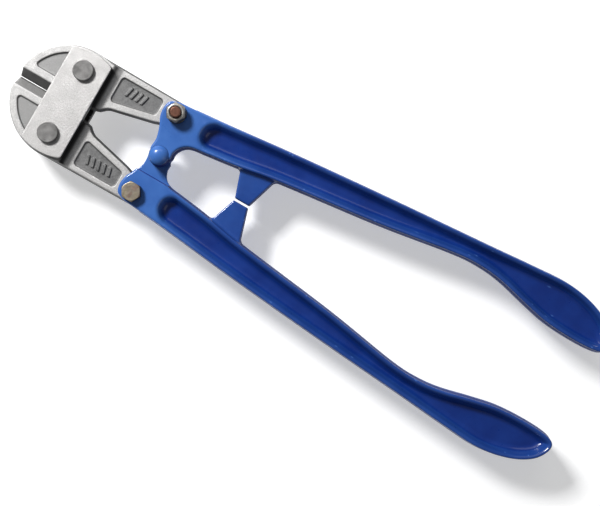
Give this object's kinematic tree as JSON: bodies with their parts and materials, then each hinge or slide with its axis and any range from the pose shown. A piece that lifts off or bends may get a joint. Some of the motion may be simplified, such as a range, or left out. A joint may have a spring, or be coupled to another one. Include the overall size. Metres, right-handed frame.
{
  "type": "bolt cutters",
  "caption": "Compound-lever bolt cutters with forged jaws between riveted side plates and enamelled channel-section handles with flared grips.",
  "frame": {"origin": "centre of the bounding box in plan, on the plane the tool lies on (rear end of the lower jaw bolt)", "axes": "+X from the jaws towards the grips, +Y towards the upper handle, +Z to the front face"},
  "size_m": [0.355, 0.104, 0.0334],
  "materials": {
    "plate_steel": "blasted forged steel, satin",
    "rivet_steel": "turned steel, satin grey",
    "jaw_steel": "blasted forged alloy steel, ground outer faces",
    "handle_enamel": "glossy blue enamel over forged steel",
    "bolt_zinc": "yellow passivated zinc plate",
    "nut_zinc": "zinc plate",
    "spring_steel": "dark spring steel"
  },
  "bodies": {
    "head": {"front_side_plate": "plate_steel", "rear_side_plate": "plate_steel", "upper_pivot_rivet": "rivet_steel", "lower_pivot_rivet": "rivet_steel"},
    "upper_jaw": {"upper_jaw": "jaw_steel"},
    "lower_jaw": {"lower_jaw": "jaw_steel"},
    "upper_handle": {"upper_handle": "handle_enamel", "centre_rivet": "handle_enamel", "upper_jaw_bolt": "bolt_zinc", "upper_bolt_nut": "nut_zinc", "upper_spring_washer": "spring_steel"},
    "lower_handle": {"lower_handle": "handle_enamel", "lower_jaw_bolt": "bolt_zinc", "lower_bolt_nut": "nut_zinc", "lower_spring_washer": "spring_steel"}
  },
  "joints": [
    {"name": "upper_jaw_swing", "type": "hinge", "parent": "head", "child": "upper_jaw", "pos_m": [-0.1465, 0.01935, 0.0167], "axis": [0, 0, -1], "range_deg": [0, 8]},
    {"name": "lower_jaw_swing", "type": "hinge", "parent": "head", "child": "lower_jaw", "pos_m": [-0.1465, -0.01935, 0.0167], "axis": [0, 0, 1], "range_deg": [0, 8]},
    {"name": "upper_handle_swing", "type": "hinge", "parent": "upper_jaw", "child": "upper_handle", "pos_m": [-0.091, 0.0245, 0.0167], "axis": [0, 0, 1], "range_deg": [0, 48.98]},
    {"name": "handles_open", "type": "hinge", "parent": "upper_handle", "child": "lower_handle", "pos_m": [-0.0883, 0, 0.0167], "axis": [0, 0, -1], "range_deg": [0, 81.96]}
  ],
  "couplings": [
    {"joint": "upper_jaw_swing", "follows": "handles_open", "ratio": 0.097612},
    {"joint": "lower_jaw_swing", "follows": "handles_open", "ratio": 0.097612},
    {"joint": "upper_handle_swing", "follows": "handles_open", "ratio": 0.59761}
  ]
}
